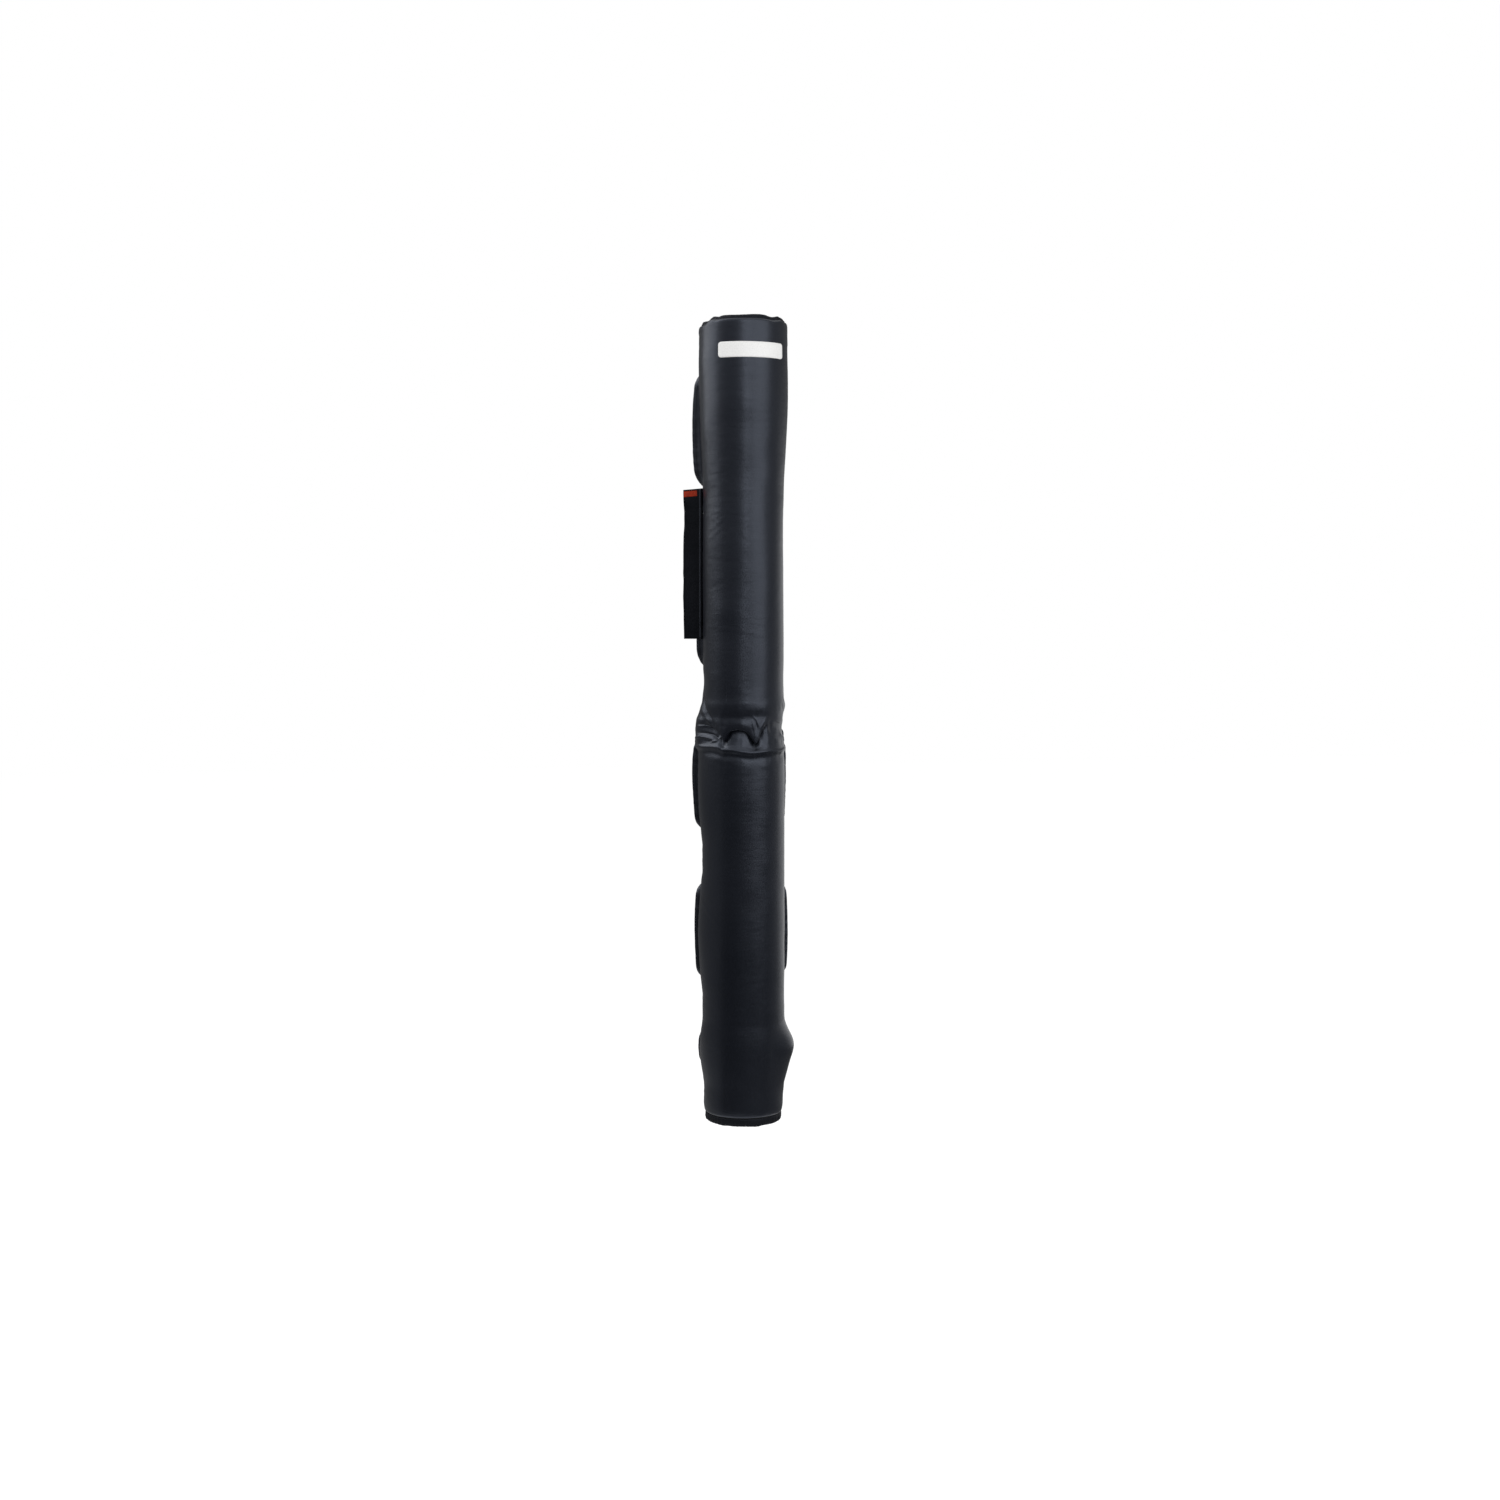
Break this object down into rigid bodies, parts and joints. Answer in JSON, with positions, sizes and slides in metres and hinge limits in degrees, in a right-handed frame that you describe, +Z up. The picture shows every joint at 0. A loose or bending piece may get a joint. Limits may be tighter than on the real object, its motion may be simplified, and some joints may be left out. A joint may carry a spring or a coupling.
{
  "type": "goal pole pad",
  "caption": "Padded vinyl sleeve that wraps the front and sides of a round goal pole, with a blank patch and hook and loop straps that close it behind.",
  "frame": {"origin": "on the axis of the pole's place, at the sleeve's lower edge", "axes": "+Z up along the pole, -Y towards the front with the patch, +X towards the right edge seen from the front"},
  "size_m": [0.1547, 0.1181, 1.219],
  "materials": {
    "vinyl": "satin",
    "lining": "matte",
    "foam": "matte",
    "patch": "satin",
    "tag": "satin",
    "webbing": "matte",
    "hook_tape": "matte",
    "loop_tape": "matte"
  },
  "bodies": {
    "sleeve": {"cover": "vinyl", "lining": "lining", "foam_upper": "foam", "foam_lower": "foam", "top_hem": "vinyl", "bottom_hem": "vinyl", "left_hem": "vinyl", "right_hem": "vinyl", "patch": "patch"},
    "tag": {"side_tag": "tag"},
    "hook_strap_1": {"hook_strap_1": "webbing", "hook_tape_1": "hook_tape"},
    "loop_strap_1": {"loop_strap_1": "webbing", "loop_tape_1": "loop_tape"},
    "hook_strap_2": {"hook_strap_2": "webbing", "hook_tape_2": "hook_tape"},
    "loop_strap_2": {"loop_strap_2": "webbing", "loop_tape_2": "loop_tape"},
    "hook_strap_3": {"hook_strap_3": "webbing", "hook_tape_3": "hook_tape"},
    "loop_strap_3": {"loop_strap_3": "webbing", "loop_tape_3": "loop_tape"},
    "hook_strap_4": {"hook_strap_4": "webbing", "hook_tape_4": "hook_tape"},
    "loop_strap_4": {"loop_strap_4": "webbing", "loop_tape_4": "loop_tape"},
    "hook_strap_5": {"hook_strap_5": "webbing", "hook_tape_5": "hook_tape"},
    "loop_strap_5": {"loop_strap_5": "webbing", "loop_tape_5": "loop_tape"},
    "hook_strap_6": {"hook_strap_6": "webbing", "hook_tape_6": "hook_tape"},
    "loop_strap_6": {"loop_strap_6": "webbing", "loop_tape_6": "loop_tape"}
  },
  "joints": [
    {"name": "tag_swing", "type": "hinge", "parent": "sleeve", "child": "tag", "pos_m": [-0.05836, 0.0194, 0.852], "axis": [0, 0, 1], "range_deg": [-15, 65], "stiffness_Nm_per_rad": 0.0015},
    {"name": "hook_open_1", "type": "hinge", "parent": "sleeve", "child": "hook_strap_1", "pos_m": [-0.05504, 0.02256, 0.03657], "axis": [0, 0, 1], "range_deg": [0, 150]},
    {"name": "loop_open_1", "type": "hinge", "parent": "sleeve", "child": "loop_strap_1", "pos_m": [0.05473, 0.02255, 0.03657], "axis": [0, 0, -1], "range_deg": [0, 98]},
    {"name": "hook_open_2", "type": "hinge", "parent": "sleeve", "child": "hook_strap_2", "pos_m": [-0.05504, 0.02256, 0.17554], "axis": [0, 0, 1], "range_deg": [0, 150]},
    {"name": "loop_open_2", "type": "hinge", "parent": "sleeve", "child": "loop_strap_2", "pos_m": [0.05473, 0.02255, 0.17554], "axis": [0, 0, -1], "range_deg": [0, 98]},
    {"name": "hook_open_3", "type": "hinge", "parent": "sleeve", "child": "hook_strap_3", "pos_m": [-0.05504, 0.02256, 0.40471], "axis": [0, 0, 1], "range_deg": [0, 150]},
    {"name": "loop_open_3", "type": "hinge", "parent": "sleeve", "child": "loop_strap_3", "pos_m": [0.05473, 0.02255, 0.40471], "axis": [0, 0, -1], "range_deg": [0, 98]},
    {"name": "hook_open_4", "type": "hinge", "parent": "sleeve", "child": "hook_strap_4", "pos_m": [-0.05504, 0.02256, 0.6546], "axis": [0, 0, 1], "range_deg": [0, 150]},
    {"name": "loop_open_4", "type": "hinge", "parent": "sleeve", "child": "loop_strap_4", "pos_m": [0.05473, 0.02255, 0.6546], "axis": [0, 0, -1], "range_deg": [0, 98]},
    {"name": "hook_open_5", "type": "hinge", "parent": "sleeve", "child": "hook_strap_5", "pos_m": [-0.05504, 0.02256, 0.93132], "axis": [0, 0, 1], "range_deg": [0, 115]},
    {"name": "loop_open_5", "type": "hinge", "parent": "sleeve", "child": "loop_strap_5", "pos_m": [0.05473, 0.02255, 0.93132], "axis": [0, 0, -1], "range_deg": [0, 75]},
    {"name": "hook_open_6", "type": "hinge", "parent": "sleeve", "child": "hook_strap_6", "pos_m": [-0.05504, 0.02256, 1.18365], "axis": [0, 0, 1], "range_deg": [0, 150]},
    {"name": "loop_open_6", "type": "hinge", "parent": "sleeve", "child": "loop_strap_6", "pos_m": [0.05473, 0.02255, 1.18365], "axis": [0, 0, -1], "range_deg": [0, 98]}
  ],
  "couplings": [
    {"joint": "loop_open_1", "follows": "hook_open_1", "ratio": 0.65},
    {"joint": "loop_open_2", "follows": "hook_open_2", "ratio": 0.65},
    {"joint": "loop_open_3", "follows": "hook_open_3", "ratio": 0.65},
    {"joint": "loop_open_4", "follows": "hook_open_4", "ratio": 0.65},
    {"joint": "loop_open_5", "follows": "hook_open_5", "ratio": 0.65},
    {"joint": "loop_open_6", "follows": "hook_open_6", "ratio": 0.65}
  ]
}
